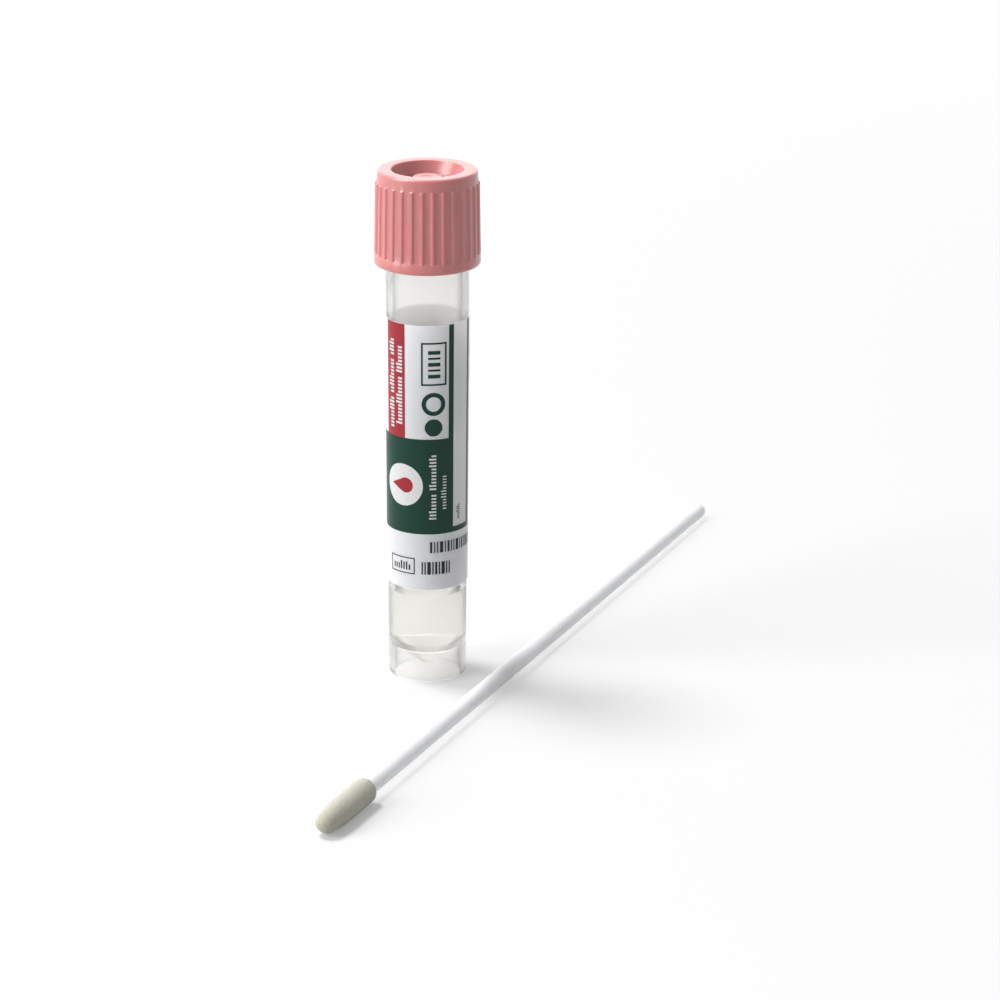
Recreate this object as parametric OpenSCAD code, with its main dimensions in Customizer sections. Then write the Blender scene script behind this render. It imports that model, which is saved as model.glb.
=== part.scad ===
// Specimen swab tube: a self-standing transport tube with a screw cap, a wrap-around label
// and a little liquid medium, and the foam-tipped swab that goes with it.
// Millimetres. The origin is the middle of the ring that the tube stands on. +Z runs up the
// tube's axis, and the label's printed front faces -Y. The swab lies on the same surface.

/* [Tube] */
// Height of the tube from its standing ring to its mouth
tube_h = 100; // [92:1:125]
// Outer diameter of the straight neck under the cap
neck_d = 16.2; // [15:0.1:20]
// How much narrower the tube is at its standing ring, by the mould's draft
tube_draft = 0.8; // [0:0.1:1.2]
// Wall thickness of the tube, its cone and its skirt
tube_wall = 1.15; // [0.9:0.05:1.6]
// Height of the inner floor above the surface that the tube stands on
floor_h = 2.9; // [2.5:0.1:6]
// Slope of the inner cone, in degrees above the horizontal
cone_slope = 37; // [25:1:50]
// Radius of the rounded bottom of the inner cone
tip_round = 1.5; // [0.8:0.1:3]
// Rounding of the standing ring's outer edge
foot_round = 0.5; // [0.2:0.05:0.8]

/* [Thread] */
// Rise of the screw thread in one turn
thread_pitch = 3; // [2.4:0.1:3.6]
// Height of the thread ridges above the wall that carries them
thread_depth = 0.75; // [0.5:0.05:0.9]
// Width of a thread ridge at its root
thread_root_w = 1.5; // [1.1:0.05:1.7]
// Width of a thread ridge at its crest
thread_crest_w = 0.7; // [0.4:0.05:0.9]
// Turns of the ridge on the tube
tube_turns = 2.25; // [1.5:0.25:2.5]
// Turns of the ridge inside the cap
cap_turns = 2; // [1.5:0.25:2.5]
// Distance from the mouth down to the middle of the tube's uppermost ridge
thread_drop = 2.8; // [2:0.1:4]

/* [Cap] */
// Height of the cap
cap_h = 18.8; // [17:0.1:24]
// Wall thickness of the cap's skirt at its open lower edge
cap_wall = 1.35; // [1.3:0.05:2.5]
// How much narrower the cap is at its top edge
cap_draft = 0.6; // [0:0.1:1]
// Thickness of the cap's roof over the tube's rim
roof_t = 2.4; // [1.8:0.1:4]
// Rounding of the cap's outer edges
cap_round = 0.5; // [0.2:0.05:0.8]
// Number of grip ribs
ribs = 30; // [24:1:36]
// Height of a grip rib, and of the step on which the ribs stand
rib_h = 0.3; // [0.2:0.05:0.45]
// Width of a grip rib at its foot
rib_w = 1; // [0.7:0.05:1.2]
// Width of a grip rib at its crest
rib_crest_w = 0.3; // [0.2:0.05:0.6]
// Plain band of the cap below the ribs
band_low = 2.1; // [1.5:0.1:4]
// Plain band of the cap above the ribs
band_high = 2.3; // [1.5:0.1:4]
// Length of the cap's plug below the tube's mouth
plug_len = 6; // [4:0.5:9]
// Wall thickness of the plug and of its floor
plug_wall = 0.9; // [0.7:0.05:1.2]
// How much wider the recess in the cap's roof gets on each side, from the plug up to the top
recess_flare = 1.2; // [0.4:0.1:1.4]
// Wall thickness of the column that holds the swab's end
column_wall = 1.2; // [0.8:0.05:1.6]
// Depth of the column's head below the cap's top
column_drop = 1.5; // [0.8:0.1:3]

/* [Sealing ring] */
// Thickness of the sealing ring between the tube's rim and the cap's roof
seal_t = 0.8; // [0.5:0.1:1.5]

/* [Label] */
// Height of the label's lower edge
label_low = 19.7; // [15:0.1:30]
// Height of the label
label_h = 54.3; // [45:0.1:60]
// Thickness of the label
label_t = 0.15; // [0.12:0.01:0.25]
// Depth of the printed fields in the label's face
print_t = 0.08; // [0.05:0.01:0.09]
// How far the label's end laps over its start, in degrees
lap_angle = 14; // [8:1:25]
// Height of the green field's lower edge above the label's lower edge
green_rise = 11.6; // [8:0.1:15]
// Height of the green field
green_h = 19.6; // [14:0.1:24]
// Width of the frame line beside and below the writing panel
frame_line = 1.1; // [0.6:0.05:1.6]
// Width of the red strip round the tube
red_w = 5.2; // [3:0.1:7]

/* [Medium] */
// Height of the liquid's surface above the surface that the tube stands on
medium_level = 17.3; // [12:0.1:30]

/* [Swab] */
// Length of the swab from the bud's tip to the shaft's rounded end
swab_l = 200; // [150:1:220]
// Diameter of the shaft
shaft_d = 3.3; // [2.4:0.1:3.6]
// Length of the foam bud
bud_l = 20; // [15:0.5:24]
// Length of the bud behind its widest ring
bud_rear = 6; // [3:0.5:8]
// Thickness of the foam round the shaft, at the bud's widest
bud_wall = 0.85; // [0.7:0.05:1.4]
// Radius of the bud's rounded tip
bud_nose = 1.95; // [1.6:0.05:2.3]
// Length of the foam ahead of the shaft's end
bud_tip = 4.5; // [3.5:0.5:6]
// Place of the bud's tip on the surface, across from the tube's axis
swab_x = -19.2; // [-24:0.1:-5]
// Place of the bud's tip on the surface, in front of the tube's axis
swab_y = -87; // [-110:0.5:-75]
// Direction in which the shaft lies, in degrees from +X towards +Y
swab_turn = 66.3; // [50:0.1:70]

/* [Hidden] */
$fn = 96;

// Clearances
thread_gap = 0.2;    // crest of one thread to the wall that carries the other
plug_gap = 0.2;      // plug to bore, and sealing ring to plug and skirt
face_gap = 0.05;     // flat faces that rest on each other
film = 0.05;         // glue under the label, liquid to wall, and shaft to foam
socket_gap = 0.1;    // swab shaft in the cap's column
ink_gap = 0.01;      // a print field to the paper round it
past = 1;            // how far cutters and joined fields run past an edge

// Tube
neck_r = neck_d / 2;
foot_r = neck_r - tube_draft / 2;
lip_round = 0.3;
roof_z = tube_h + seal_t + 2 * face_gap;
cap_top = roof_z + roof_t;
cap_low = cap_top - cap_h;
taper = (neck_r - foot_r) / cap_low;
tan_cone = tan(cone_slope);
bore_r = neck_r - tube_wall;

function outer_r(z) = foot_r + taper * min(z, cap_low);
function inner_r(z, inset = 0) = outer_r(z) - tube_wall - inset;

// Height of the cone's sharp point, if it were not rounded, for a surface that lies inset mm
// inside the tube's inner face (a negative inset lies in the wall or under it)
function point_z(inset) = floor_h - tip_round * (1 / cos(cone_slope) - 1) + inset / cos(cone_slope);
// Height at which that cone meets the straight wall
function cone_top(inset) =
    (point_z(inset) + tan_cone * (foot_r - tube_wall - inset)) / (1 - taper * tan_cone);

function arc(centre, r, from, to, steps = 6) =
    [for (i = [0:steps]) centre + r * [cos(from + (to - from) * i / steps),
        sin(from + (to - from) * i / steps)]];

// The rounded cone from the straight wall down to the axis
function cone_line(inset) = concat(
    [[inner_r(cone_top(inset), inset), cone_top(inset)]],
    arc([0, floor_h + tip_round], tip_round - inset, cone_slope - 90, -90));

// Thread
tube_crest_r = neck_r + thread_depth;
skirt_r = tube_crest_r + thread_gap;
cap_crest_r = neck_r + thread_gap;
thread_sink = 0.35;    // how far a ridge's root is buried in its wall
end_sink = 0.1;        // how far a ridge's crest is buried at its two ends
thread_steps = 30;     // straight steps in one turn
run_in = 0.12;         // part of a turn over which a ridge grows from the wall
tube_thread_low = tube_h - thread_drop - tube_turns * thread_pitch;
cap_thread_low = tube_thread_low - thread_pitch / 2;

// Cap
cap_r = skirt_r + cap_wall;
cap_top_r = cap_r - rib_h - cap_draft / 2;
cap_lean = atan(cap_draft / 2 / cap_h);
plug_r = bore_r - plug_gap;
plug_low = tube_h - plug_len;
plug_lead = 0.3;
recess_low = plug_low + plug_wall;
recess_throat = roof_z - 0.3;
recess_draft = 0.1;
recess_top_r = plug_r - plug_wall + recess_flare;
socket_r = shaft_d / 2 + socket_gap;
column_r = socket_r + column_wall;
column_top = cap_top - column_drop;
column_roof = 1.5;
column_draft = 0.15;
socket_top = column_top - column_roof;
edge_break = 0.25;
dimple_r = 1.3;
dimple_floor_r = 0.8;
dimple_depth = 0.3;
ledge_z = cap_low + band_low;      // the step's outer edge, where the ribs start
rib_top = cap_top - band_high;
rib_gap = 0.01;                    // crest of a rib to the step's face, so that no faces coincide
rib_sink = 0.4;                    // how far a rib's foot is buried in the skirt

// Radius of the cap's face between the ribs, and of the band above them
function floor_r(z) = cap_r - rib_h - (z - cap_low) * tan(cap_lean);

// Label
label_top = label_low + label_h;
green_low = label_low + green_rise;
green_top = green_low + green_h;
angle_per_mm = 180 / (PI * (outer_r(green_top) + label_t));    // degrees for each mm round the label
red_start_angle = -69.5;
red_end_angle = red_start_angle + red_w * angle_per_mm;
panel_start_angle = 38.5;
panel_end_angle = 69.5;
frame_angle = frame_line * angle_per_mm;
green_start_angle = -118;
lap_start_angle = 165;

// Swab
shaft_r = shaft_d / 2;
bud_r = shaft_r + film + bud_wall;
bud_wide = bud_l - bud_rear;      // place of the widest ring, from the tip
bud_steps = 6;                    // straight steps of the curve from the tip to the widest ring
swab_dip = asin((bud_r - shaft_r) / (swab_l - shaft_r - bud_wide));
bud_shoulder = 1.7;               // rounding of the bud's rear edge

// A ridge swept along a helix. wall_r carries it, crest_r is its full height, and at both ends
// it sinks into the wall. It is an outside thread if crest_r is over wall_r, or else an inside one.
module thread(wall_r, crest_r, turns, low) {
    side = sign(crest_r - wall_r);
    rings = ceil(turns * thread_steps);
    grow = run_in * thread_steps;
    points = [for (i = [0:rings]) let (
            height = min(1, i / grow, (rings - i) / grow),
            top_r = wall_r + (crest_r - wall_r) * height - side * end_sink * (1 - height),
            root_r = wall_r - side * thread_sink,
            half_top = (thread_root_w + (thread_crest_w - thread_root_w) * height) / 2,
            z = low + i * thread_pitch / thread_steps,
            a = i * 360 / thread_steps)
        for (p = [[root_r, -thread_root_w / 2], [top_r, -half_top],
                [top_r, half_top], [root_r, thread_root_w / 2]])
            [p[0] * cos(a), p[0] * sin(a), z + p[1]]];
    strip = [for (i = [0:rings - 1], k = [0:3]) let (
            a = 4 * i + k, b = 4 * i + (k + 1) % 4)
        each [[a, b, b + 4], [a, b + 4, a + 4]]];
    last = 4 * rings;
    ends = [[0, 2, 1], [0, 3, 2], [last, last + 1, last + 2], [last, last + 2, last + 3]];
    faces = concat(strip, ends);
    polyhedron(points, side > 0 ? faces : [for (f = faces) [f[2], f[1], f[0]]]);
}

// A ring that follows the tube's taper, between two heights and two distances from its face
module skin(low, high, under, over) {
    rotate_extrude()
        polygon([[outer_r(low) + under, low], [outer_r(low) + over, low],
            [outer_r(high) + over, high], [outer_r(high) + under, high]]);
}

// A block between two heights and two angles, counted from the front, that cuts through the label
module sector(from, to, low, high) {
    rotate([0, 0, from - 90])
        rotate_extrude(angle = to - from)
            translate([foot_r - past, low])
                square([neck_r - foot_r + 2 * past, high - low]);
}

// The green print's outline, larger all round by grow: a block round the tube, less the paper
// above it and the writing panel
module green_field(grow) {
    turn = grow * angle_per_mm;
    difference() {
        sector(green_start_angle - turn, panel_end_angle + frame_angle + turn, green_low - grow,
            label_top + past);
        sector(green_start_angle - turn - past, panel_start_angle - frame_angle - turn, green_top + grow,
            label_top + 2 * past);
        sector(panel_start_angle + turn, panel_end_angle - turn, green_low + frame_line + grow,
            label_top + 2 * past);
    }
}

module red_field(grow) {
    turn = grow * angle_per_mm;
    sector(red_start_angle - turn, red_end_angle + turn, green_top + ink_gap - grow, label_top + past);
}

// One moulding: a tapered tube with a rounded cone inside and a skirt under it
module tube() {
    skirt_top = point_z(-tube_wall) + tan_cone * inner_r(floor_h);
    color([0.93, 0.93, 0.91, 0.5])
    union() {
        rotate_extrude()
            polygon(concat(
                [[inner_r(0), 0]],
                arc([foot_r - foot_round, foot_round], foot_round, -90, 0),
                [[neck_r, cap_low]],
                arc([neck_r - lip_round, tube_h - lip_round], lip_round, 0, 90),
                arc([bore_r + lip_round, tube_h - lip_round], lip_round, 90, 180),
                [[bore_r, cap_low]],
                cone_line(0),
                arc([0, floor_h + tip_round], tip_round + tube_wall, -90, cone_slope - 90),
                [[inner_r(floor_h), skirt_top]]));
        thread(neck_r, tube_crest_r, tube_turns, tube_thread_low);
    }
}

// The cap without its ribs and its thread
module cap_body() {
    rotate_extrude()
        polygon(concat(
            [[skirt_r + edge_break, cap_low]],
            arc([cap_r - cap_round, cap_low + cap_round], cap_round, -90, 0),
            [[floor_r(ledge_z) + rib_h, ledge_z], [floor_r(ledge_z), ledge_z + rib_h]],
            arc([cap_top_r - cap_round, cap_top - cap_round], cap_round, 0, 90),
            arc([recess_top_r + edge_break, cap_top - edge_break], edge_break, 90, 180, 4),
            [[plug_r - plug_wall, recess_throat],
                [plug_r - plug_wall - recess_draft, recess_low],
                [column_r + column_draft, recess_low]],
            arc([column_r - edge_break, column_top - edge_break], edge_break, 0, 90, 4),
            [[dimple_r, column_top], [dimple_floor_r, column_top - dimple_depth],
                [0, column_top - dimple_depth],
                [0, socket_top], [socket_r, socket_top], [socket_r, plug_low + 2 * edge_break],
                [socket_r + 2 * edge_break, plug_low],
                [plug_r - 2 * plug_lead, plug_low],
                [plug_r - plug_lead, plug_low + 2 * plug_lead],
                [plug_r, tube_h - lip_round], [plug_r, roof_z],
                [skirt_r, roof_z], [skirt_r, cap_low + edge_break]]));
}

// One grip rib, which leans with the cap's face. It starts inside the step and slopes off at its top.
module rib() {
    length = (rib_top - ledge_z) / cos(cap_lean);
    crest = rib_h - rib_gap;
    translate([floor_r(ledge_z), 0, ledge_z])
        rotate([0, -cap_lean, 0])
            intersection() {
                linear_extrude(length)
                    polygon([[-rib_sink, -rib_w / 2], [0, -rib_w / 2], [crest, -rib_crest_w / 2],
                        [crest, rib_crest_w / 2], [0, rib_w / 2], [-rib_sink, rib_w / 2]]);
                translate([0, rib_w, 0])
                    rotate([90, 0, 0])
                        linear_extrude(2 * rib_w)
                            polygon([[-rib_sink - past, -past], [rib_h, -past],
                                [rib_h, length - rib_h], [0, length], [-rib_sink - past, length]]);
            }
}

module cap() {
    color([0.84, 0.50, 0.52])
    union() {
        cap_body();
        for (i = [0:ribs - 1])
            rotate([0, 0, i * 360 / ribs])
                rib();
        thread(skirt_r, cap_crest_r, cap_turns, cap_thread_low);
    }
}

module seal_ring() {
    color([0.92, 0.92, 0.90])
    translate([0, 0, tube_h + face_gap])
        rotate_extrude()
            translate([plug_r + plug_gap, 0])
                square([skirt_r - plug_r - 2 * plug_gap, seal_t]);
}

// The hollow that a print field takes up in the label's face
module pocket() {
    intersection() {
        skin(label_low, label_top + past, film + label_t - print_t, film + label_t + past / 2);
        children();
    }
}

// One strip of paper round the tube, whose end laps over its start at the back
module label() {
    color([0.94, 0.95, 0.97])
    union() {
        difference() {
            skin(label_low, label_top, film, film + label_t);
            pocket()
                green_field(ink_gap);
            pocket()
                red_field(ink_gap);
        }
        intersection() {
            skin(label_low, label_top, film + label_t / 2, film + 2 * label_t);
            sector(lap_start_angle, lap_start_angle + lap_angle, label_low - past, label_top + past);
        }
    }
}

// Ink fills a field of the label's face
module ink() {
    intersection() {
        skin(label_low, label_top, film + label_t - print_t + ink_gap, film + label_t);
        children();
    }
}

module print_green() {
    color([0.12, 0.35, 0.26])
    ink()
        green_field(0);
}

module print_red() {
    color([0.70, 0.20, 0.23])
    ink()
        red_field(0);
}

module medium() {
    color([0.93, 0.92, 0.86, 0.6])
    rotate_extrude()
        polygon(concat(
            [[0, medium_level], [inner_r(medium_level, film), medium_level]],
            cone_line(film)));
}

// Puts a piece that is drawn upright from the bud's tip at its place on the surface: it lies on
// the bud's widest ring and on the shaft's far end
module lying() {
    translate([swab_x, swab_y, bud_r + bud_wide * sin(swab_dip)])
        rotate([0, 90 + swab_dip, swab_turn])
            children();
}

module swab_shaft() {
    color([0.90, 0.91, 0.93])
    lying() {
        translate([0, 0, bud_tip])
            cylinder(r = shaft_r, h = swab_l - shaft_r - bud_tip);
        translate([0, 0, swab_l - shaft_r])
            sphere(r = shaft_r);
    }
}

module swab_bud() {
    color([0.87, 0.86, 0.80])
    lying()
        difference() {
            rotate_extrude()
                polygon(concat(
                    arc([0, bud_nose], bud_nose, -90, 0, 8),
                    [for (i = [1:bud_steps]) [
                        bud_nose + (bud_r - bud_nose) * sin(90 * i / bud_steps),
                        bud_nose + (bud_wide - bud_nose) * i / bud_steps]],
                    arc([bud_r - bud_shoulder, bud_l - bud_shoulder], bud_shoulder, 0, 90),
                    [[0, bud_l]]));
            translate([0, 0, bud_tip - film])
                cylinder(r = shaft_r + film, h = bud_l + past);
        }
}

tube();
cap();
seal_ring();
label();
print_green();
print_red();
medium();
swab_shaft();
swab_bud();
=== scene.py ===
import math

import bmesh
import bpy
from mathutils import Matrix, Vector, noise


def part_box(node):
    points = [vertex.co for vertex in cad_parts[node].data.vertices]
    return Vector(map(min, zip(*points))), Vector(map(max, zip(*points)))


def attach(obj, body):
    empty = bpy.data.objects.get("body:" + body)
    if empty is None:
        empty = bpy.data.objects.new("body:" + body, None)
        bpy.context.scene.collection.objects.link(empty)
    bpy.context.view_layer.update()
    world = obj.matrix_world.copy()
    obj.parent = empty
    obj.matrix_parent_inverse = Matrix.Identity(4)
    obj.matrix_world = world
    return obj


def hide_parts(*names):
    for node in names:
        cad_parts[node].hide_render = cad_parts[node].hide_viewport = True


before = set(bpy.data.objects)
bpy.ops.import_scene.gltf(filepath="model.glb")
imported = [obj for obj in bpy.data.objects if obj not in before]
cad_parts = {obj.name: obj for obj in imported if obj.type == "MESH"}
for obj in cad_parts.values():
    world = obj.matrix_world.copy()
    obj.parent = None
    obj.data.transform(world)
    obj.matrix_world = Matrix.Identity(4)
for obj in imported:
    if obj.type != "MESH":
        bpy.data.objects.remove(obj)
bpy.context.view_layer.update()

MM = 0.001
TURN = 2 * math.pi
CREASE = 40                      # degrees between two faces, over which an edge stays sharp

# ---------------------------------------------------------------- sizes, as the pieces are moulded

TUBE_WALL = 1.15 * MM
TUBE_DRAFT = 0.8 * MM            # the foot is this much narrower than the neck
FLOOR_UP = 2.9 * MM              # inner floor above the standing ring
CONE_SLOPE = 37                  # degrees above the level
TIP_ROUND = 1.5 * MM
CONE_FILLET = 1 * MM             # inside, between the cone and the wall
FOOT_ROUND = 0.5 * MM
INNER_FOOT_ROUND = 0.15 * MM
LIP_ROUND = 0.3 * MM
WALL_ROWS = (8 * MM, 20 * MM, 40 * MM, 60 * MM)    # heights of the rings in the tube's wall
CAVITY_CLEAR = 12 * MM           # the cavity's bottom is all below this height

THREAD_PITCH = 3 * MM
THREAD_DEPTH = 0.75 * MM
THREAD_ROOT_W = 1.5 * MM
THREAD_CREST_W = 0.7 * MM
THREAD_GAP = 0.2 * MM
THREAD_DROP = 2.8 * MM           # mouth to the middle of the tube's uppermost ridge
TUBE_TURNS = 2.25
CAP_TURNS = 2
THREAD_RUN_OUT = 0.12            # of a turn, at each end of a ridge
TUBE_THREAD_ROW = 0.1 * MM       # between two rings of the tube's threaded wall
CAP_THREAD_ROW = 0.15 * MM

RIBS = 30
RIB_H = 0.3 * MM
RIB_W = 1 * MM                   # at the foot
RIB_CREST_W = 0.3 * MM
BAND_LOW = 2.1 * MM              # plain bands below and above the ribs
BAND_HIGH = 2.3 * MM
CAP_DRAFT = 0.6 * MM
CAP_ROUND = 0.55 * MM
PLUG_LEN = 6 * MM
PLUG_WALL = 0.9 * MM
PLUG_GAP = 0.2 * MM
PLUG_LEAD = 0.3 * MM             # the plug narrows by this much towards its end
RECESS_FLARE = 1.2 * MM
RECESS_FILLET = 0.4 * MM
RECESS_DRAFT = 0.1 * MM          # the recess and the column lean by this much
COLUMN_R = 2.9 * MM
COLUMN_DRAFT = 0.14 * MM
COLUMN_DROP = 1.5 * MM           # cap's top to the column's head
COLUMN_ROOF = 1.5 * MM           # column's head to the socket's end
SOCKET_R = 1.7 * MM
EDGE_BREAK = 0.25 * MM
FACE_GAP = 0.05 * MM             # cap's roof to sealing ring

LABEL_T = 0.15 * MM
FILM = 0.05 * MM                 # glue under the label
INK_T = 0.02 * MM
LAP_START = 165                  # degrees round the tube from the front
LAP_ANGLE = 14
LAP_CLIMB = 7                    # degrees in which the label rises over its start

SHAFT_R = 1.65 * MM
SWAB_L = 200 * MM
SWAB_TURN = 66.3                 # degrees from +X, round to +Y
BUD_L = 20 * MM
BUD_R = 2.55 * MM
BUD_NOSE = 2.19 * MM
BUD_START = 0.36 * MM            # the foam's nose stays this far inside the solid's
BUD_FULL = 9.5 * MM              # from there on it has its full width
BUD_REAR = 6 * MM                # widest ring to the rear end
BUD_SHOULDER = 1.7 * MM
BUD_TIP = 4.5 * MM               # foam ahead of the shaft's end
PORE = 0.07 * MM                 # how deep the foam's open cells go
PORES = 2600                     # cells of their pattern, a metre

# Places and the main sizes come from the CAD parts in model.glb
tube_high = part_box("tube")[1]
cap_low, cap_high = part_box("cap")
seal_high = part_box("seal_ring")[1]
label_low, label_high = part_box("label")
medium_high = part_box("medium")[1]
bud_low, bud_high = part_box("swab_bud")

MOUTH_Z = tube_high.z
NECK_R = tube_high.x - THREAD_DEPTH
FOOT_R = NECK_R - TUBE_DRAFT / 2
BORE_R = NECK_R - TUBE_WALL
CAP_R = cap_high.x
SKIRT_R = NECK_R + THREAD_DEPTH + THREAD_GAP
ROOF_Z = seal_high.z + FACE_GAP
PLUG_R = BORE_R - PLUG_GAP


def taper_r(z):
    """Outer radius of the tube's wall at height z, without the thread."""
    return FOOT_R + (NECK_R - FOOT_R) * min(z, cap_low.z) / cap_low.z


def smooth(t):
    """Runs from 0 to 1 with level ends as t does."""
    t = min(1, max(0, t))
    return t * t * (3 - 2 * t)


def spread(first, last, steps):
    """Values from first to last in equal steps."""
    return [first + (last - first) * i / steps for i in range(steps + 1)]


def round_about(count):
    """Angles of that many columns, evenly round the axis."""
    return [TURN * i / count for i in range(count)]


def arc(centre_r, centre_z, radius, start, end, steps):
    """Points (radius, height) of a round stretch of a profile, between two angles in degrees."""
    points = []
    for i in range(steps + 1):
        a = math.radians(start + (end - start) * i / steps)
        points.append((centre_r + radius * math.cos(a), centre_z + radius * math.sin(a)))
    return points


# ---------------------------------------------------------------- mesh helpers

def make_object(name, bm):
    """Turns a bmesh into an object with smooth shading that keeps its sharp edges."""
    bmesh.ops.recalc_face_normals(bm, faces=bm.faces)
    mesh = bpy.data.meshes.new(name)
    bm.to_mesh(mesh)
    bm.free()
    mesh.shade_smooth()
    mesh.set_sharp_from_angle(angle=math.radians(CREASE))
    obj = bpy.data.objects.new(name, mesh)
    bpy.context.scene.collection.objects.link(obj)
    return obj


def turned(name, profile, angles, reshape=None):
    """A closed mesh turned about +Z from a profile of (radius, height) points, which runs from axis
    to axis. It has a column of points at each angle, and reshape(radius, height, angle) may move
    a point out or in."""
    bm = bmesh.new()
    rings = []
    for r, z in profile:
        if r < 1e-7:
            rings.append([bm.verts.new((0, 0, z))])
            continue
        ring = []
        for a in angles:
            radius = reshape(r, z, a) if reshape else r
            ring.append(bm.verts.new((radius * math.cos(a), radius * math.sin(a), z)))
        rings.append(ring)
    count = len(angles)
    for one, two in zip(rings, rings[1:]):
        for i in range(count):
            j = (i + 1) % count
            if len(one) == 1:
                bm.faces.new((one[0], two[i], two[j]))
            elif len(two) == 1:
                bm.faces.new((one[i], one[j], two[0]))
            else:
                bm.faces.new((one[i], one[j], two[j], two[i]))
    return make_object(name, bm)


def ridge_share(z, a, low, turns):
    """How far a thread's ridge stands up at height z and angle a, from 0 on the wall to 1 on its
    crest. The ridge starts at height low and angle 0, rises one pitch a turn, and runs out at both
    ends."""
    half_root, half_crest = THREAD_ROOT_W / 2, THREAD_CREST_W / 2
    share = 0
    for k in range(math.ceil(turns) + 1):
        along = (a % TURN) / TURN + k
        if along < turns:
            end = min(1, along / THREAD_RUN_OUT, (turns - along) / THREAD_RUN_OUT)
            off = abs(z - low - THREAD_PITCH * along)
            share = max(share, end * smooth((half_root - off) / (half_root - half_crest)))
    return share


def thread_rows(low, turns, step):
    """Heights, from the bottom up and about a step apart, that a threaded wall needs."""
    bottom = low - THREAD_ROOT_W / 2
    high = turns * THREAD_PITCH + THREAD_ROOT_W
    return spread(bottom, bottom + high, math.ceil(high / step))


def dress(obj, body, slot, material, *replaced):
    """Gives a new piece its material and its body, and hides the CAD nodes that it replaces. slot is not
    used.
    """
    obj.data.materials.clear()
    obj.data.materials.append(material)
    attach(obj, body)
    if replaced:
        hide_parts(*replaced)
    return obj


# ---------------------------------------------------------------- material helpers

def new_material(name, roughness, ior=1.5):
    """A material and its Principled shader."""
    material = bpy.data.materials.new(name)
    material.use_nodes = True
    shader = material.node_tree.nodes["Principled BSDF"]
    shader.inputs["Roughness"].default_value = roughness
    shader.inputs["IOR"].default_value = ior
    return material, shader


def add_node(material, kind, **settings):
    """A new node of a material, with its settings."""
    node = material.node_tree.nodes.new(kind)
    for key, value in settings.items():
        setattr(node, key, value)
    return node


def noise_field(material, scale, detail=3, roughness=0.5):
    """Noise over the object's own coordinates; scale is in cells a metre."""
    tree = material.node_tree
    coords = add_node(material, "ShaderNodeTexCoord")
    field = add_node(material, "ShaderNodeTexNoise")
    field.inputs["Scale"].default_value = scale
    field.inputs["Detail"].default_value = detail
    field.inputs["Roughness"].default_value = roughness
    tree.links.new(coords.outputs["Object"], field.inputs["Vector"])
    return field.outputs["Fac"]


def vary_colour(material, shader, field, dark, light):
    """Base colour that runs between two colours with a noise field."""
    tree = material.node_tree
    ramp = add_node(material, "ShaderNodeValToRGB")
    ramp.color_ramp.elements[0].position = 0.3
    ramp.color_ramp.elements[1].position = 0.7
    ramp.color_ramp.elements[0].color = (*dark, 1)
    ramp.color_ramp.elements[1].color = (*light, 1)
    tree.links.new(field, ramp.inputs["Fac"])
    tree.links.new(ramp.outputs["Color"], shader.inputs["Base Color"])


def vary_roughness(material, shader, field, low, high):
    """Roughness that runs between two values with a noise field."""
    tree = material.node_tree
    span = add_node(material, "ShaderNodeMapRange")
    span.inputs["To Min"].default_value = low
    span.inputs["To Max"].default_value = high
    tree.links.new(field, span.inputs["Value"])
    tree.links.new(span.outputs["Result"], shader.inputs["Roughness"])


def add_bump(material, shader, field, depth, strength=1.0):
    """Relief from a field; depth is in metres."""
    tree = material.node_tree
    bump = add_node(material, "ShaderNodeBump")
    bump.inputs["Strength"].default_value = strength
    bump.inputs["Distance"].default_value = depth
    tree.links.new(field, bump.inputs["Height"])
    tree.links.new(bump.outputs["Normal"], shader.inputs["Normal"])


def scaled(colour, factor):
    """A colour, lighter or darker by a factor."""
    return tuple(min(1, c * factor) for c in colour)


def calculate(tree, operation, *values):
    """Result of a math node, whose inputs are numbers or other nodes' outputs."""
    node = tree.nodes.new("ShaderNodeMath")
    node.operation = operation
    for socket, value in zip(node.inputs, values):
        if isinstance(value, bpy.types.NodeSocket):
            tree.links.new(value, socket)
        else:
            socket.default_value = value
    return node.outputs[0]


# ---------------------------------------------------------------- materials

def clear_plastic():
    """Natural polypropylene: it lets light through, and some of it stays as a milky haze. The bore's
    colour is painted darker where it is seen edge-on: painted shade for the dim bands along the tube's
    sides."""
    material, shader = new_material("clear_plastic", 0.2, ior=1.2)
    shader.inputs["Transmission Weight"].default_value = 0.905
    shader.inputs["Subsurface Weight"].default_value = 1
    shader.inputs["Subsurface Radius"].default_value = (1, 0.97, 0.93)
    shader.inputs["Subsurface Scale"].default_value = 2.5 * MM
    tree = material.node_tree
    # Painted shade: the bore's base colour runs from near white face-on to dark grey edge-on.
    painted_edge_shade = add_node(material, "ShaderNodeLayerWeight")
    painted_edge_shade.inputs["Blend"].default_value = 0.5
    bore = upright_inside(material, reach=BORE_R + TUBE_WALL / 3, top=cap_low.z)
    ramp = add_node(material, "ShaderNodeValToRGB")
    ramp.color_ramp.interpolation = "EASE"
    ramp.color_ramp.elements[0].position = 0.33
    ramp.color_ramp.elements[1].position = 0.85
    ramp.color_ramp.elements[0].color = (0.985, 0.98, 0.965, 1)
    ramp.color_ramp.elements[1].color = (0.15, 0.145, 0.14, 1)
    tree.links.new(calculate(tree, "MULTIPLY", painted_edge_shade.outputs["Facing"], bore), ramp.inputs["Fac"])
    tree.links.new(ramp.outputs["Color"], shader.inputs["Base Color"])
    vary_roughness(material, shader, noise_field(material, 900), low=0.17, high=0.22)
    add_bump(material, shader, noise_field(material, 260, detail=2), depth=0.02 * MM, strength=0.04)
    absorb(material, colour=(0.455, 0.445, 0.44), density=62)
    pass_lamps(material, shader, tint=0.77, foot_tint=0.55)
    return material


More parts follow.
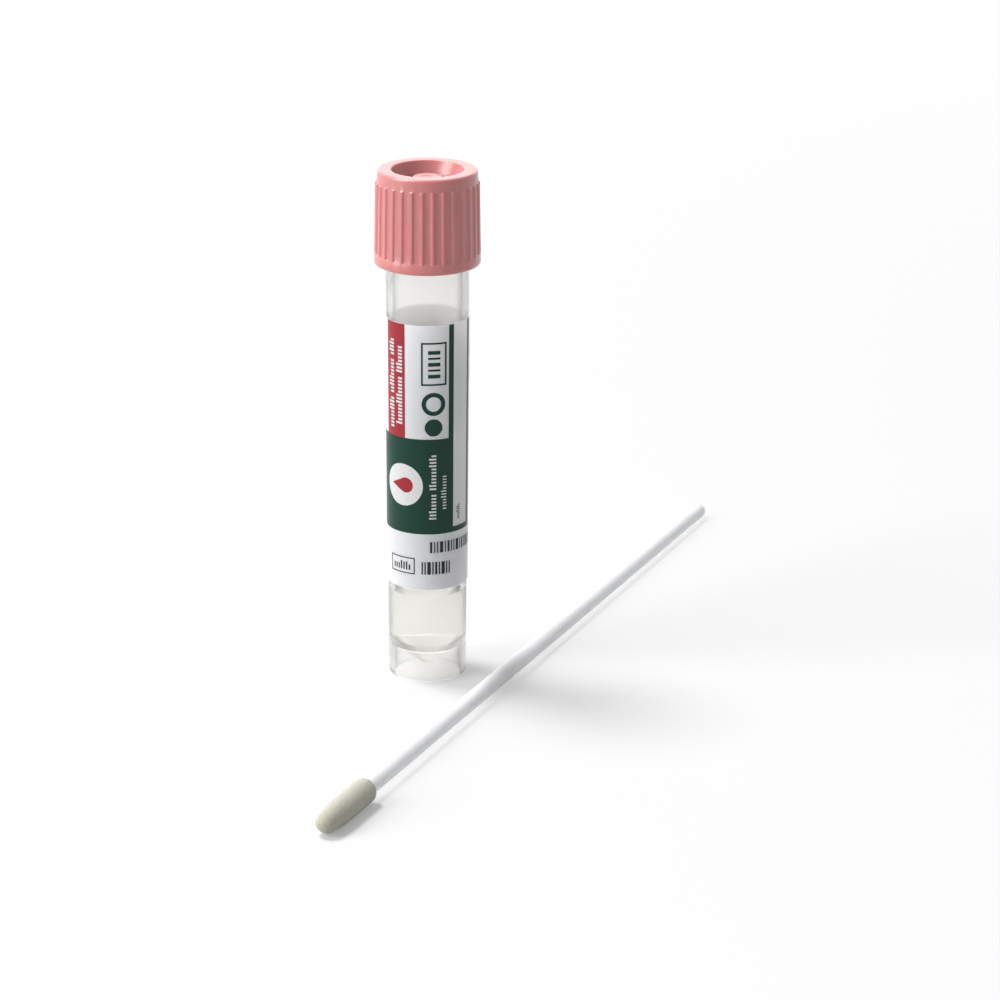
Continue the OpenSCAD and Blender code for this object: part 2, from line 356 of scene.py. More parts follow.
def upright_inside(material, reach, top):
    """1 on upright faces below top that are closer to the Z axis than reach, and 0 elsewhere."""
    most_tilt = 0.4               # of an upright face's normal, up or down
    tree = material.node_tree
    coords = add_node(material, "ShaderNodeTexCoord")
    level = add_node(material, "ShaderNodeVectorMath", operation="MULTIPLY")
    level.inputs[1].default_value = (1, 1, 0)
    radius = add_node(material, "ShaderNodeVectorMath", operation="LENGTH")
    place = add_node(material, "ShaderNodeSeparateXYZ")
    geometry = add_node(material, "ShaderNodeNewGeometry")
    normal = add_node(material, "ShaderNodeSeparateXYZ")
    tree.links.new(coords.outputs["Object"], level.inputs[0])
    tree.links.new(level.outputs["Vector"], radius.inputs[0])
    tree.links.new(coords.outputs["Object"], place.inputs["Vector"])
    tree.links.new(geometry.outputs["Normal"], normal.inputs["Vector"])
    tilt = calculate(tree, "ABSOLUTE", normal.outputs["Z"])
    upright = calculate(tree, "LESS_THAN", tilt, most_tilt)
    inside = calculate(tree, "LESS_THAN", radius.outputs["Value"], reach)
    under = calculate(tree, "LESS_THAN", place.outputs["Z"], top)
    return calculate(tree, "MULTIPLY", calculate(tree, "MULTIPLY", inside, upright), under)


def pass_lamps(material, shader, tint, foot_tint=None):
    """Lets the lamps' light through a clear body, dimmed at each face, so that what stands in it
    or behind it is lit too. foot_tint holds at the foot of the tube, and tint above the cone."""
    foot_top, wall_from = 5 * MM, 12 * MM
    tree = material.node_tree
    path = add_node(material, "ShaderNodeLightPath")
    clear = add_node(material, "ShaderNodeBsdfTransparent")
    clear.inputs["Color"].default_value = (tint, tint, tint, 1)
    if foot_tint:
        coords = add_node(material, "ShaderNodeTexCoord")
        parts = add_node(material, "ShaderNodeSeparateXYZ")
        rise = add_node(material, "ShaderNodeMapRange")
        rise.inputs["From Min"].default_value = foot_top
        rise.inputs["From Max"].default_value = wall_from
        rise.inputs["To Min"].default_value = foot_tint
        rise.inputs["To Max"].default_value = tint
        tree.links.new(coords.outputs["Object"], parts.inputs["Vector"])
        tree.links.new(parts.outputs["Z"], rise.inputs["Value"])
        tree.links.new(rise.outputs["Result"], clear.inputs["Color"])
    either = add_node(material, "ShaderNodeMixShader")
    tree.links.new(path.outputs["Is Shadow Ray"], either.inputs[0])
    tree.links.new(shader.outputs["BSDF"], either.inputs[1])
    tree.links.new(clear.outputs["BSDF"], either.inputs[2])
    tree.links.new(either.outputs["Shader"], tree.nodes["Material Output"].inputs["Surface"])


def absorb(material, colour, density):
    """Colour that a clear body takes on with the way through it; density is per metre."""
    tree = material.node_tree
    volume = add_node(material, "ShaderNodeVolumeAbsorption")
    volume.inputs["Color"].default_value = (*colour, 1)
    volume.inputs["Density"].default_value = density
    tree.links.new(volume.outputs["Volume"], tree.nodes["Material Output"].inputs["Volume"])


def liquid():
    """Nearly clear water, with the faintest warm tint."""
    material, shader = new_material("liquid", 0.0, ior=1.2)
    shader.inputs["Transmission Weight"].default_value = 1.0
    vary_colour(material, shader, noise_field(material, 60),
                dark=(0.985, 0.98, 0.955), light=(0.995, 0.99, 0.965))
    pass_lamps(material, shader, tint=0.98)
    return material


def cap_plastic():
    """Pink moulded polypropylene with a satin skin."""
    material, shader = new_material("cap_plastic", 0.38)
    pink = (0.54, 0.172, 0.168)
    vary_colour(material, shader, noise_field(material, 500),
                dark=scaled(pink, 0.97), light=scaled(pink, 1.03))
    vary_roughness(material, shader, noise_field(material, 1500), low=0.33, high=0.45)
    shader.inputs["Subsurface Weight"].default_value = 0.4
    shader.inputs["Subsurface Radius"].default_value = (1.0, 0.2, 0.15)
    shader.inputs["Subsurface Scale"].default_value = 2 * MM
    shader.inputs["Coat Weight"].default_value = 0.8
    shader.inputs["Coat Roughness"].default_value = 0.3
    add_bump(material, shader, noise_field(material, 7000, detail=2), depth=0.012 * MM, strength=0.5)
    return material


def paper():
    """Thin coated paper, which some light passes."""
    material, shader = new_material("paper", 0.45)
    vary_colour(material, shader, noise_field(material, 900),
                dark=(0.905, 0.89, 0.965), light=(0.925, 0.91, 0.98))
    vary_roughness(material, shader, noise_field(material, 2500), low=0.4, high=0.52)
    shader.inputs["Subsurface Weight"].default_value = 0.8
    shader.inputs["Subsurface Radius"].default_value = (1.0, 0.93, 0.93)
    shader.inputs["Subsurface Scale"].default_value = 1.0 * MM
    shader.inputs["Coat Weight"].default_value = 0.15
    shader.inputs["Coat Roughness"].default_value = 0.35
    add_bump(material, shader, noise_field(material, 5000, detail=4), depth=0.006 * MM, strength=0.6)
    return material


def ink(name, colour):
    """Printed ink, with the paper's fine grain."""
    material, shader = new_material(name, 0.34)
    vary_colour(material, shader, noise_field(material, 2200),
                dark=scaled(colour, 0.93), light=scaled(colour, 1.07))
    vary_roughness(material, shader, noise_field(material, 2500), low=0.3, high=0.4)
    shader.inputs["Specular IOR Level"].default_value = 0.22
    add_bump(material, shader, noise_field(material, 5000, detail=4), depth=0.006 * MM, strength=0.6)
    return material


def seal_rubber():
    """Natural rubber of the ring under the cap's roof."""
    material, shader = new_material("seal_rubber", 0.5)
    vary_colour(material, shader, noise_field(material, 800),
                dark=(0.78, 0.78, 0.75), light=(0.84, 0.84, 0.81))
    add_bump(material, shader, noise_field(material, 4000), depth=0.01 * MM, strength=0.5)
    return material


def shaft_plastic():
    """Milky polystyrene rod."""
    material, shader = new_material("shaft_plastic", 0.35)
    vary_colour(material, shader, noise_field(material, 300),
                dark=(0.755, 0.76, 0.775), light=(0.795, 0.8, 0.815))
    vary_roughness(material, shader, noise_field(material, 1200), low=0.3, high=0.42)
    shader.inputs["Specular IOR Level"].default_value = 0.35
    shader.inputs["Subsurface Weight"].default_value = 0.5
    shader.inputs["Subsurface Radius"].default_value = (1.0, 1.0, 1.05)
    shader.inputs["Subsurface Scale"].default_value = 1.2 * MM
    shader.inputs["Transmission Weight"].default_value = 0.25
    add_bump(material, shader, noise_field(material, 700, detail=2), depth=0.02 * MM, strength=0.2)
    pass_lamps(material, shader, tint=0.72)
    return material


def foam():
    """Pale open-cell foam with a soft, matt skin."""
    material, shader = new_material("foam", 0.95)
    vary_colour(material, shader, noise_field(material, PORES, detail=5, roughness=0.7),
                dark=(0.375, 0.363, 0.295), light=(0.465, 0.452, 0.385))
    shader.inputs["Subsurface Weight"].default_value = 0.6
    shader.inputs["Subsurface Radius"].default_value = (1.0, 1.0, 0.8)
    shader.inputs["Subsurface Scale"].default_value = 2.4 * MM
    shader.inputs["Sheen Weight"].default_value = 0.25
    shader.inputs["Sheen Roughness"].default_value = 0.6
    add_bump(material, shader, noise_field(material, 6500, detail=5, roughness=0.75),
             depth=0.09 * MM, strength=0.8)
    return material


# ---------------------------------------------------------------- tube and liquid

def cone_line(inset):
    """Profile of the cavity's bottom, from the straight wall over a fillet and down the cone to
    its rounded tip on the axis. inset moves it inwards."""
    slope = math.radians(CONE_SLOPE)
    point_z = FLOOR_UP - TIP_ROUND * (1 / math.cos(slope) - 1) + inset / math.cos(slope)
    fillet = CONE_FILLET - inset
    corner_r = FOOT_R - TUBE_WALL - CONE_FILLET
    corner_z = point_z + math.tan(slope) * corner_r + fillet / math.cos(slope)
    corner_r += taper_r(corner_z) - FOOT_R
    corner = arc(corner_r, corner_z, fillet, 0, CONE_SLOPE - 90, 8)
    tip = arc(0, FLOOR_UP + TIP_ROUND, TIP_ROUND - inset, CONE_SLOPE - 90, -90, 10)
    tip[-1] = (0, tip[-1][1])
    return corner + tip


def make_tube():
    """One moulding: the cavity with its cone, the lip, the threaded neck, the tapered wall, and the
    skirt with the cone's underside in it."""
    slope = math.radians(CONE_SLOPE)
    under_z = FLOOR_UP - TIP_ROUND * (1 / math.cos(slope) - 1) - TUBE_WALL / math.cos(slope)
    skirt_r = FOOT_R - TUBE_WALL
    skirt_top = under_z + math.tan(slope) * skirt_r
    skirt_foot = arc(skirt_r + INNER_FOOT_ROUND, INNER_FOOT_ROUND, INNER_FOOT_ROUND, 180, 270, 4)
    # The skirt's upper corner is broken, at these places outwards and up from it
    skirt_corner = [(skirt_r, skirt_top - 0.3 * MM), (skirt_r - 0.25 * MM, skirt_top - 0.05 * MM)]
    wall = [(taper_r(z), z) for z in (*WALL_ROWS, cap_low.z)]
    under = arc(0, FLOOR_UP + TIP_ROUND, TIP_ROUND + TUBE_WALL, CONE_SLOPE - 90, -90, 10)
    under[-1] = (0, under[-1][1])
    bore = [(r - TUBE_WALL, z) for r, z in wall if z > CAVITY_CLEAR]
    bore.append((BORE_R, cap_low.z + 2 * MM))
    thread_low = MOUTH_Z - THREAD_DROP - TUBE_TURNS * THREAD_PITCH
    neck = [(NECK_R, z) for z in thread_rows(thread_low, TUBE_TURNS, TUBE_THREAD_ROW)]
    profile = (cone_line(0)[::-1]
               + bore
               + arc(BORE_R + LIP_ROUND, MOUTH_Z - LIP_ROUND, LIP_ROUND, 180, 90, 6)
               + arc(NECK_R - LIP_ROUND, MOUTH_Z - LIP_ROUND, LIP_ROUND, 90, 0, 6)
               + neck[::-1]
               + wall[::-1]
               + arc(FOOT_R - FOOT_ROUND, FOOT_ROUND, FOOT_ROUND, 0, -90, 8)
               + skirt_foot[::-1]
               + skirt_corner
               + under)

    def threaded(r, z, a):
        if abs(r - NECK_R) > 0.001 * MM:
            return r
        return r + THREAD_DEPTH * ridge_share(z, a, thread_low, TUBE_TURNS)

    tube = turned("tube_moulding", profile, round_about(160), reshape=threaded)
    return dress(tube, "tube", "tube", clear_plastic(), "tube")


def make_liquid():
    """The medium wets the wall, so its surface curves up there, and it reaches into the wall by
    a hair so that no film of air shows between them."""
    wet = -0.02 * MM              # inset, so it is past the wall's face
    sag = 0.1 * MM                # of the surface's middle, below the solid's top
    climb = 0.45 * MM             # from the middle up to the edge
    curve = 0.9 * MM              # how fast the climb fades from the wall inwards
    edge = taper_r(medium_high.z) - TUBE_WALL - wet
    surface = [(r, medium_high.z - sag + climb * math.exp((r - edge) / curve))
               for r in spread(0, edge, 24)]
    medium = turned("medium_liquid", surface + cone_line(wet), round_about(128))
    return dress(medium, "tube", "medium", liquid(), "medium")


# ---------------------------------------------------------------- cap

def make_cap():
    """One moulding: the ribbed skirt with its thread, the roof with its recess, and the plug with
    the column in it."""
    base_z, top_z = cap_low.z, cap_high.z
    lean = CAP_DRAFT / 2 / (top_z - base_z)
    ledge_z = base_z + BAND_LOW
    rib_top = top_z - BAND_HIGH
    pitch = TURN / RIBS
    thread_low = MOUTH_Z - THREAD_DROP - (TUBE_TURNS + 0.5) * THREAD_PITCH

    def floor_r(z):
        """Radius of the wall between the ribs."""
        return CAP_R - RIB_H - (z - base_z) * lean

    def ribbed(r, z, a):
        """Raises the thread from the skirt's inside and the ribs from its outside."""
        if abs(r - SKIRT_R) < 0.001 * MM:
            return r + (NECK_R + THREAD_GAP - r) * ridge_share(z, a, thread_low, CAP_TURNS)
        if not ledge_z < z < rib_top or r < floor_r(z) - 0.01 * MM:
            return r
        x = abs(math.fmod(a + pitch / 2, pitch) - pitch / 2) * r
        flank = smooth((RIB_W / 2 - x) / (RIB_W / 2 - RIB_CREST_W / 2))
        end = smooth((rib_top - z) / RIB_H)
        return max(r, floor_r(z) + RIB_H * flank * end)

    # Columns crowd at the ribs, this far from their middles, and rows at their upper ends
    offsets = [0.12 * MM, 0.18 * MM, 0.25 * MM, 0.31 * MM, 0.38 * MM, 0.44 * MM, 0.52 * MM]
    stops = [0] + [side * x / CAP_R for x in offsets for side in (-1, 1)] + [pitch / 2]
    angles = sorted(k * pitch + stop for k in range(RIBS) for stop in stops)
    margin = RIB_H + 0.05 * MM
    rows = spread(ledge_z + margin, rib_top - margin, 8) + spread(rib_top - RIB_H, rib_top, 8)

    # Inside: the column with a shallow dimple in its head, and the recess round it
    bowl_r = PLUG_R - PLUG_WALL
    column_top = top_z - COLUMN_DROP
    plug_low = MOUTH_Z - PLUG_LEN
    recess_low = plug_low + PLUG_WALL
    dimple = [(0, -0.3 * MM), (0.5 * MM, -0.29 * MM), (0.9 * MM, -0.22 * MM), (1.3 * MM, -0.05 * MM),
              (1.5 * MM, 0)]
    flare = [(0, -0.9 * MM), (0.06 * MM, -0.3 * MM), (0.3 * MM, 0.25 * MM)]
    column = ([(r, column_top + z) for r, z in dimple]
              + arc(COLUMN_R - EDGE_BREAK, column_top - EDGE_BREAK, EDGE_BREAK, 90, 0, 5)
              + arc(COLUMN_R + COLUMN_DRAFT + RECESS_FILLET, recess_low + RECESS_FILLET, RECESS_FILLET,
                    180, 270, 5))
    bowl = (arc(bowl_r - RECESS_DRAFT - RECESS_FILLET, recess_low + RECESS_FILLET, RECESS_FILLET,
                -90, 0, 5)
            + [(bowl_r + r, ROOF_Z + z) for r, z in flare]
            + arc(bowl_r + RECESS_FLARE + EDGE_BREAK, top_z - EDGE_BREAK, EDGE_BREAK, 180, 90, 5))

    # Outside: the rounded top edge, the ribs' rows, the softened ledge that they stand on, the base
    top_r = floor_r(top_z)
    crest_r = floor_r(ledge_z) + RIB_H
    soft = 0.08 * MM
    ledge = [(floor_r(ledge_z) + soft * 0.3, ledge_z + RIB_H - soft * 0.3),
             (crest_r - soft, ledge_z + soft), (crest_r - soft * 0.35, ledge_z + soft * 0.3),
             (crest_r, ledge_z - soft * 0.5)]
    skirt = (arc(top_r - CAP_ROUND, top_z - CAP_ROUND, CAP_ROUND, 90, 0, 8)
             + [(floor_r(z), z) for z in reversed(rows)]
             + ledge
             + arc(CAP_R - CAP_ROUND, base_z + CAP_ROUND, CAP_ROUND, 0, -90, 7)
             + arc(SKIRT_R + EDGE_BREAK, base_z + EDGE_BREAK, EDGE_BREAK, -90, -180, 5)
             + [(SKIRT_R, z) for z in thread_rows(thread_low, CAP_TURNS, CAP_THREAD_ROW)])

    # Under the roof: the plug with its lead, and the socket for the swab's end
    tip_r = PLUG_R - PLUG_LEAD
    socket_top = column_top - COLUMN_ROOF
    plug = ([(SKIRT_R, ROOF_Z), (PLUG_R, ROOF_Z), (PLUG_R, MOUTH_Z - LIP_ROUND),
             (tip_r, plug_low + 2 * PLUG_LEAD)]
            + arc(tip_r - RECESS_FILLET, plug_low + RECESS_FILLET, RECESS_FILLET, 0, -90, 5)
            + arc(SOCKET_R + RECESS_FILLET, plug_low + RECESS_FILLET, RECESS_FILLET, -90, -180, 5)
            + [(SOCKET_R, socket_top), (0, socket_top)])
    cap = turned("cap_moulding", column + bowl + skirt + plug, angles, reshape=ribbed)
    return dress(cap, "cap", "cap", cap_plastic(), "cap")


# ---------------------------------------------------------------- label and print

LABEL_LOW_Z = label_low.z
LABEL_TOP_Z = label_high.z
FACE_R = taper_r((LABEL_LOW_Z + LABEL_TOP_Z) / 2) + FILM + LABEL_T

# The print's main lines: heights and widths in mm, and places in degrees round from the front
GREEN_RISE = 11.6                # from the label's lower edge
GREEN_H = 19.6
FRAME_LINE = 1.1                 # below and beside the writing panel
RED_W = 5.2
INK_GAP = 0.01                   # between the red and the green field
GREEN_AT = -118                  # left edges of the green field, the red strip, the green bar and
RED_AT = -69.5                   # the writing panel beside it
BAR_AT = 30.6
PANEL_AT = 38.5
PANEL_END = 69.5                 # right edge of the panel


def label_point(u, z, lift):
    """A point of the label's face: u metres round it from the front, positive to the right."""
    r = taper_r(z) + FILM + LABEL_T + lift
    a = u / FACE_R
    return Vector((r * math.sin(a), -r * math.cos(a), z))


def make_label():
    """One strip of paper that goes once round the tube and is glued over its own start, which
    leaves a step at the back."""
    lap_end = LAP_START + LAP_ANGLE
    cut = 0.05                    # degrees that the step down at the paper's end takes
    columns = spread(lap_end, lap_end + 360, 260)[:-1] + [lap_end + 360 - cut]
    heights = spread(LABEL_LOW_Z, LABEL_TOP_Z, 6)
    bm = bmesh.new()
    rings = []
    for degrees in columns:
        layers = 1 + smooth((degrees - LAP_START - 360 + LAP_CLIMB) / LAP_CLIMB)
        a = math.radians(degrees)
        points = [(taper_r(z) + FILM, z) for z in heights]
        points += [(taper_r(z) + FILM + layers * LABEL_T, z) for z in reversed(heights)]
        rings.append([bm.verts.new((r * math.sin(a), -r * math.cos(a), z)) for r, z in points])
    size = len(rings[0])
    for one, two in zip(rings, rings[1:] + rings[:1]):
        for k in range(size):
            m = (k + 1) % size
            bm.faces.new((one[k], one[m], two[m], two[k]))
    return dress(make_object("label_sheet", bm), "tube", "label", paper(), "label")


def printed(name, shapes, material, slot, layer=1, replaced=()):
    """Ink on the label. Shapes are flat faces, lists of (mm round from the front, height in mm),
    which are given a thickness, cut into narrow strips and bent round the tube."""
    strip = 0.35 * MM
    bm = bmesh.new()
    for face in shapes:
        bm.faces.new([bm.verts.new((u * MM, z * MM, 0)) for u, z in face])
    bmesh.ops.remove_doubles(bm, verts=bm.verts, dist=0.002 * MM)
    made = bmesh.ops.extrude_face_region(bm, geom=bm.faces[:])
    for item in made["geom"]:
        if isinstance(item, bmesh.types.BMVert):
            item.co.z = 1
    low = min(v.co.x for v in bm.verts)
    high = max(v.co.x for v in bm.verts)
    for i in range(1, math.ceil((high - low) / strip)):
        everything = bm.verts[:] + bm.edges[:] + bm.faces[:]
        bmesh.ops.bisect_plane(bm, geom=everything, dist=0.001 * MM,
                               plane_co=(low + i * strip, 0, 0), plane_no=(1, 0, 0))
    for v in bm.verts:
        lift = layer * INK_T if v.co.z > 0.5 else -INK_T
        v.co = label_point(v.co.x, v.co.y, lift)
    return dress(make_object(name, bm), "tube", slot, material, *replaced)


def bar(u0, z0, u1, z1):
    """A filled box."""
    return [[(u0, z0), (u1, z0), (u1, z1), (u0, z1)]]


def between(outer, inner):
    """Faces between two outlines with the same number of corners."""
    count = len(outer)
    return [[outer[k], outer[(k + 1) % count], inner[(k + 1) % count], inner[k]] for k in range(count)]


def box_line(u0, z0, u1, z1, line):
    """The outline of a box, line wide."""
    outer = bar(u0, z0, u1, z1)
    inner = bar(u0 + line, z0 + line, u1 - line, z1 - line)
    return between(outer[0], inner[0])


def circle(u, z, r):
    """Outline of a disc with many short sides."""
    count = 56
    return [(u + r * math.cos(a), z + r * math.sin(a)) for a in round_about(count)]


def disc(u, z, r):
    """A filled circle."""
    return [circle(u, z, r)]


def ring(u, z, r, line):
    """The outline of a circle, line wide."""
    return between(circle(u, z, r), circle(u, z, r - line))


def drop(u, z, r, length):
    """A drop that points to the label's left, as its print reads up the tube."""
    reach = math.degrees(math.acos(r / (length - r)))
    return [arc(u, z, r, 180 - reach, reach - 180, 32) + [(u - (length - r), z)]]


def strokes(u, z, words, tall, line, pitch, upward=True):
    """Plain upright strokes in place of lettering. words lists how many strokes each group has,
    and their heights follow a fixed pattern. Upward ones read up the tube."""
    heights = (1, 0.66, 0.66, 0.9, 0.66, 0.66, 1, 0.66)
    shapes = []
    at = 0
    for count in words:
        for k in range(count):
            high = tall * heights[(3 * k + count) % len(heights)]
            if upward:
                shapes += bar(u - high, z + at, u, z + at + line)
            else:
                shapes += bar(u + at, z, u + at + line, z + high)
            at += pitch
        at += pitch
    return shapes


def bar_code(u, z, widths, tall, gap):
    """Upright bars of the given widths, side by side."""
    shapes = []
    for width in widths:
        shapes += bar(u, z, u + width, z + tall)
        u += width + gap
    return shapes


def make_print():
    """Fields of colour and plain shapes in the layout of the real label, all in mm."""
    degree = math.radians(FACE_R / MM)
    low, top = LABEL_LOW_Z / MM, LABEL_TOP_Z / MM
    green_low = low + GREEN_RISE
    green_top = green_low + GREEN_H
    panel_end = PANEL_END * degree
    red_u = RED_AT * degree

    green = ink("green_ink", (0.004, 0.037, 0.023))
    red = ink("red_ink", (0.30, 0.022, 0.030))
    dark = ink("dark_ink", (0.022, 0.024, 0.03))
    light = ink("light_ink", (0.62, 0.62, 0.63))

    # The green field fills these cells, (column, row), of a grid with these lines
    columns = (GREEN_AT * degree, BAR_AT * degree, PANEL_AT * degree, panel_end, panel_end + FRAME_LINE)
    rows = (green_low, green_low + FRAME_LINE, green_top, top)
    fields = []
    for c, r in ((0, 0), (1, 0), (2, 0), (3, 0), (0, 1), (1, 1), (1, 2), (3, 1), (3, 2)):
        fields += bar(columns[c], rows[r], columns[c + 1], rows[r + 1])
    printed("print_green_field", fields, green, "print_green", replaced=("print_green",))
    printed("print_red_field", bar(red_u, green_top + INK_GAP, red_u + RED_W, top), red, "print_red",
            replaced=("print_red",))

    # White area: a framed box of bars, a ring and a dot
    marks = box_line(u0=-1.25, z0=61.9, u1=3.8, z1=70.6, line=0.34)
    for place, width in ((63.4, 0.75), (64.8, 0.4), (65.8, 0.75), (67.2, 0.4), (68.2, 0.75)):
        marks += bar(0.1, place, 2.5, place + width)
    marks += ring(u=1.2, z=58.1, r=2.35, line=0.85) + disc(u=1.2, z=53.3, r=1.75)
    printed("print_green_marks", marks, green, "print_green")

    # Green block: a light disc with a drop, and two lines of strokes. Red strip: two more.
    emblem_u, emblem_z = -5.2, 41.2
    printed("print_emblem", disc(emblem_u, emblem_z, r=4.3), light, "label", layer=2)
    printed("print_drop", drop(emblem_u + 0.7, emblem_z, r=1.55, length=5.0), red, "print_red", layer=3)
    light_marks = strokes(1.75, 34.4, words=(8, 11), tall=1.45, line=0.34, pitch=0.68)
    light_marks += strokes(3.85, 36.4, words=(12,), tall=1.15, line=0.26, pitch=0.6)
    light_marks += strokes(red_u + 2.4, 52.6, words=(9, 10, 5), tall=1.55, line=0.42, pitch=0.7)
    light_marks += strokes(red_u + 4.6, 53.6, words=(14, 8), tall=1.55, line=0.42, pitch=0.7)
    printed("print_light_marks", light_marks, light, "label", layer=2)

    # Writing panel, the edge beyond it, and the white band below with a small box and two bar codes
    fine, thin, middling, thick = 0.25, 0.28, 0.45, 0.7
    dark_marks = strokes(7.3, 33.8, words=(7,), tall=0.95, line=0.2, pitch=0.46)
    beyond_u = panel_end + FRAME_LINE + 1.6
    for place in (61.5, 66.2):
        dark_marks += strokes(beyond_u, place, words=(6,), tall=0.9, line=0.2, pitch=0.5)
    dark_marks += box_line(u0=-8.6, z0=22.8, u1=-2.6, z1=26.2, line=0.22)
    dark_marks += strokes(-7.7, 23.6, words=(7,), tall=1.7, line=0.32, pitch=0.63, upward=False)
    dark_marks += bar_code(-1.2, 22.9, tall=2.6, gap=0.3,
                           widths=(thin, thin, thick, thin, middling, thin, thick, thin, thin))
    dark_marks += bar_code(0.5, 27.4, tall=2.3, gap=0.36,
                           widths=(middling, fine, fine, thick, fine, middling, fine, fine, thick, fine,
                                   middling, fine, thick, fine, middling))
    printed("print_dark_marks", dark_marks, dark, "label", layer=1)


# ---------------------------------------------------------------- swab

def make_swab():
    """The shaft's solid stays. The foam bud is cut to a bullet, and its open cells make its skin
    uneven inwards from the solid's face."""
    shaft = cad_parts["swab_shaft"]
    shaft.data.materials.clear()
    shaft.data.materials.append(shaft_plastic())

    wide = BUD_L - BUD_REAR
    bore_r = SHAFT_R + FILM
    nose = arc(0, BUD_START + BUD_NOSE, BUD_NOSE, -90, 0, 24)
    nose[0] = (0, BUD_START)
    nose_z = nose[-1][1]
    side = []
    for z in spread(nose_z, wide, 110)[1:]:
        widening = min(1, (z - nose_z) / (BUD_FULL - nose_z))
        side.append((BUD_NOSE + (BUD_R - BUD_NOSE) * math.sin(math.pi / 2 * widening), z))
    straight = [(BUD_R, z) for z in spread(wide, BUD_L - BUD_SHOULDER, 40)[1:-1]]
    shoulder = arc(BUD_R - BUD_SHOULDER, BUD_L - BUD_SHOULDER, BUD_SHOULDER, 0, 90, 22)
    skin = nose + side + straight + [point for point in shoulder if point[0] > bore_r + 0.05 * MM]
    profile = skin + [(bore_r, skin[-1][1]), (bore_r, BUD_TIP - FILM), (0, BUD_TIP - FILM)]
    bud = turned("foam_bud", profile, round_about(150))

    dip = math.asin((BUD_R - SHAFT_R) / (SWAB_L - SHAFT_R - wide))
    mesh = bud.data
    mesh.transform(Matrix.Rotation(math.radians(SWAB_TURN), 4, "Z")
                   @ Matrix.Rotation(math.pi / 2 + dip, 4, "Y"))
    corner = Vector((max(v.co.x for v in mesh.vertices), max(v.co.y for v in mesh.vertices),
                     min(v.co.z for v in mesh.vertices)))
    mesh.transform(Matrix.Translation(Vector((bud_high.x, bud_high.y, bud_low.z)) - corner))
    normals = [v.normal.copy() for v in mesh.vertices]
    fall, finer, octaves = 0.9, 2.1, 4
    for v, normal in zip(mesh.vertices, normals):
        cells = noise.fractal(v.co * PORES, fall, finer, octaves)
        v.co -= normal * PORE * smooth(0.5 + 0.6 * cells)
    mesh.shade_smooth()
    dress(bud, "tube", "swab_bud", foam(), "swab_bud")


def dress_seal():
    """The sealing ring's solid stays."""
    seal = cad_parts["seal_ring"]
    seal.data.materials.clear()
    seal.data.materials.append(seal_rubber())


# ---------------------------------------------------------------- stage

CAMERA_PLACE = (0, -750 * MM, 286 * MM)
CAMERA_DIP = 18.45               # degrees below the level
LENS = 143.3
FRAME_SHIFT = 0.0725             # the object stands left of the picture's middle
FLOOR_TONE = 0.48
FLOOR_LIFT = 0.262
ROOM_LIGHT = 0.37
LAMPS_AIM = Vector((0, 0, 50 * MM))


def make_camera():
    """The photograph's place: in front and a little above, with a long lens."""
    data = bpy.data.cameras.new("camera")
    data.sensor_width = 36
    data.lens = LENS
    data.shift_x = FRAME_SHIFT
    camera = bpy.data.objects.new("camera", data)
    camera.location = CAMERA_PLACE
    camera.rotation_euler = (math.radians(90 - CAMERA_DIP), 0, 0)
    bpy.context.scene.collection.objects.link(camera)
    bpy.context.scene.camera = camera


def seen_directly(tree):
    """1 for camera, glossy and transmission rays, and 0 for the rays that light the object."""
    path = tree.nodes.new("ShaderNodeLightPath")
    seen = calculate(tree, "MAXIMUM", path.outputs["Is Camera Ray"], path.outputs["Is Glossy Ray"])
    return calculate(tree, "MAXIMUM", seen, path.outputs["Is Transmission Ray"])


def make_floor():
    """A pale matt surface. A little is added to what the eye sees of it, so that it reads as white
    where it is lit, and the object's shadow stays."""
    bm = bmesh.new()
    bmesh.ops.create_grid(bm, x_segments=1, y_segments=1, size=8)
    floor = make_object("floor", bm)
    material = bpy.data.materials.new("floor")
    material.use_nodes = True
    tree = material.node_tree
    shader = tree.nodes["Principled BSDF"]
    shader.inputs["Base Color"].default_value = (FLOOR_TONE, FLOOR_TONE, FLOOR_TONE, 1)
    shader.inputs["Roughness"].default_value = 1
    shader.inputs["Specular IOR Level"].default_value = 0
    shader.inputs["Emission Color"].default_value = (1, 1, 1, 1)
    lift = calculate(tree, "MULTIPLY", seen_directly(tree), FLOOR_LIFT)
    tree.links.new(lift, shader.inputs["Emission Strength"])
    floor.data.materials.append(material)


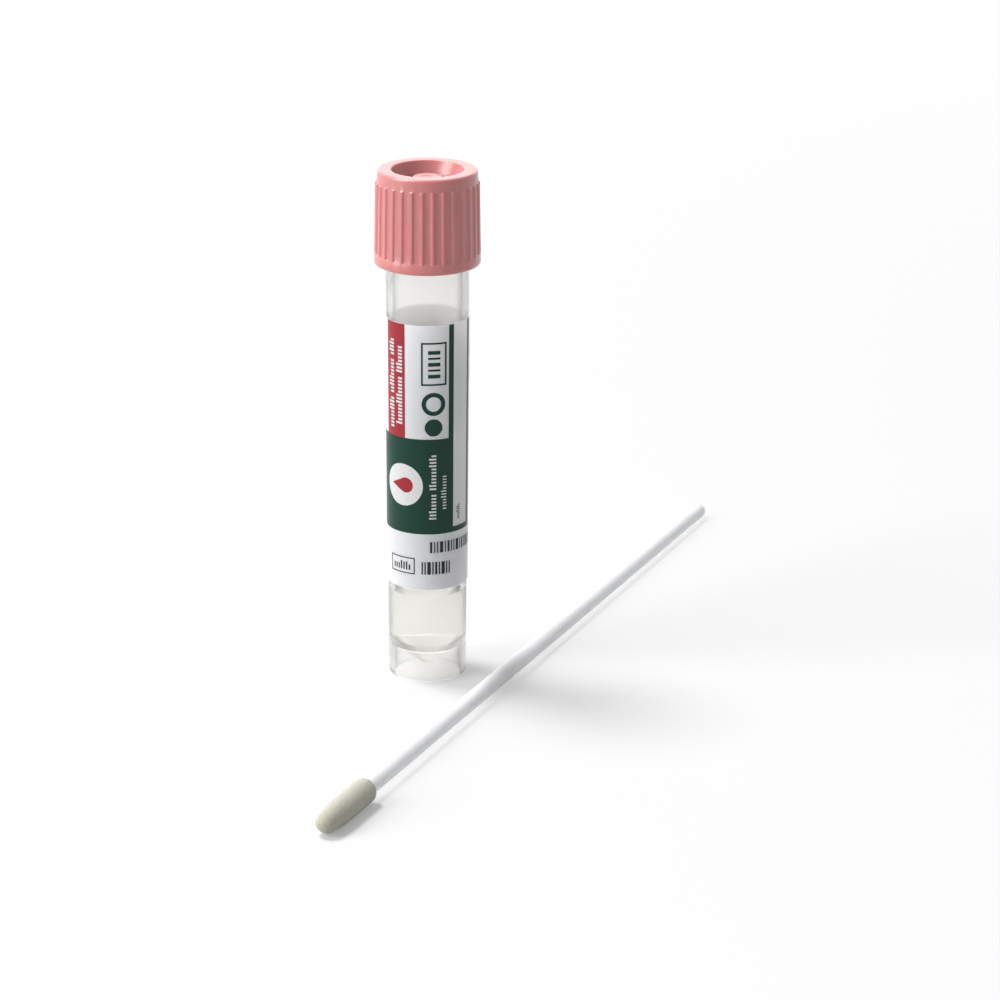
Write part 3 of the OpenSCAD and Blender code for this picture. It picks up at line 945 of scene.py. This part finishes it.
def make_world():
    """Even soft light from all round, which the eye sees as white."""
    world = bpy.data.worlds.new("world")
    world.use_nodes = True
    tree = world.node_tree
    background = tree.nodes["Background"]
    background.inputs["Color"].default_value = (1, 1, 1, 1)
    span = tree.nodes.new("ShaderNodeMapRange")
    span.inputs["To Min"].default_value = ROOM_LIGHT
    span.inputs["To Max"].default_value = 1.0
    tree.links.new(seen_directly(tree), span.inputs["Value"])
    tree.links.new(span.outputs["Result"], background.inputs["Strength"])
    bpy.context.scene.world = world


def aimed(lamp, azimuth, elevation, distance):
    """Adds a lamp in a direction from the aim point and turns it to face the point. Azimuth 0 is
    the front, and 90 is the right."""
    a, e = math.radians(azimuth), math.radians(elevation)
    back = Vector((math.sin(a) * math.cos(e), -math.cos(a) * math.cos(e), math.sin(e)))
    lamp.location = LAMPS_AIM + back * distance
    lamp.rotation_mode = "QUATERNION"
    lamp.rotation_quaternion = back.to_track_quat("Z", "Y")
    bpy.context.scene.collection.objects.link(lamp)


def add_softbox(name, width, height, energy, azimuth, elevation, distance):
    """A flat rectangular lamp, in metres and watts."""
    data = bpy.data.lights.new(name, "AREA")
    data.shape = "RECTANGLE"
    data.size = width
    data.size_y = height
    data.energy = energy
    aimed(bpy.data.objects.new(name, data), azimuth, elevation, distance)


def make_lamps():
    """A high light from behind on the left, a softbox on the left, and a wide one at the back that
    shines into the tube and gives the cap's top its sheen."""
    add_softbox("softbox", width=0.7, height=0.9, energy=15.5, azimuth=-68, elevation=25, distance=1.3)
    add_softbox("back_light", width=1.5, height=1.0, energy=3.6, azimuth=178, elevation=21, distance=1.0)
    high = bpy.data.lights.new("high_light", "SUN")
    high.angle = math.radians(18)
    high.energy = 2.5
    aimed(bpy.data.objects.new("high_light", high), azimuth=-122, elevation=66, distance=1.5)


# ---------------------------------------------------------------- build

make_camera()
make_floor()
make_world()
make_lamps()
make_tube()
make_liquid()
make_cap()
make_label()
make_print()
make_swab()
dress_seal()
bpy.context.scene.view_settings.view_transform = "Standard"
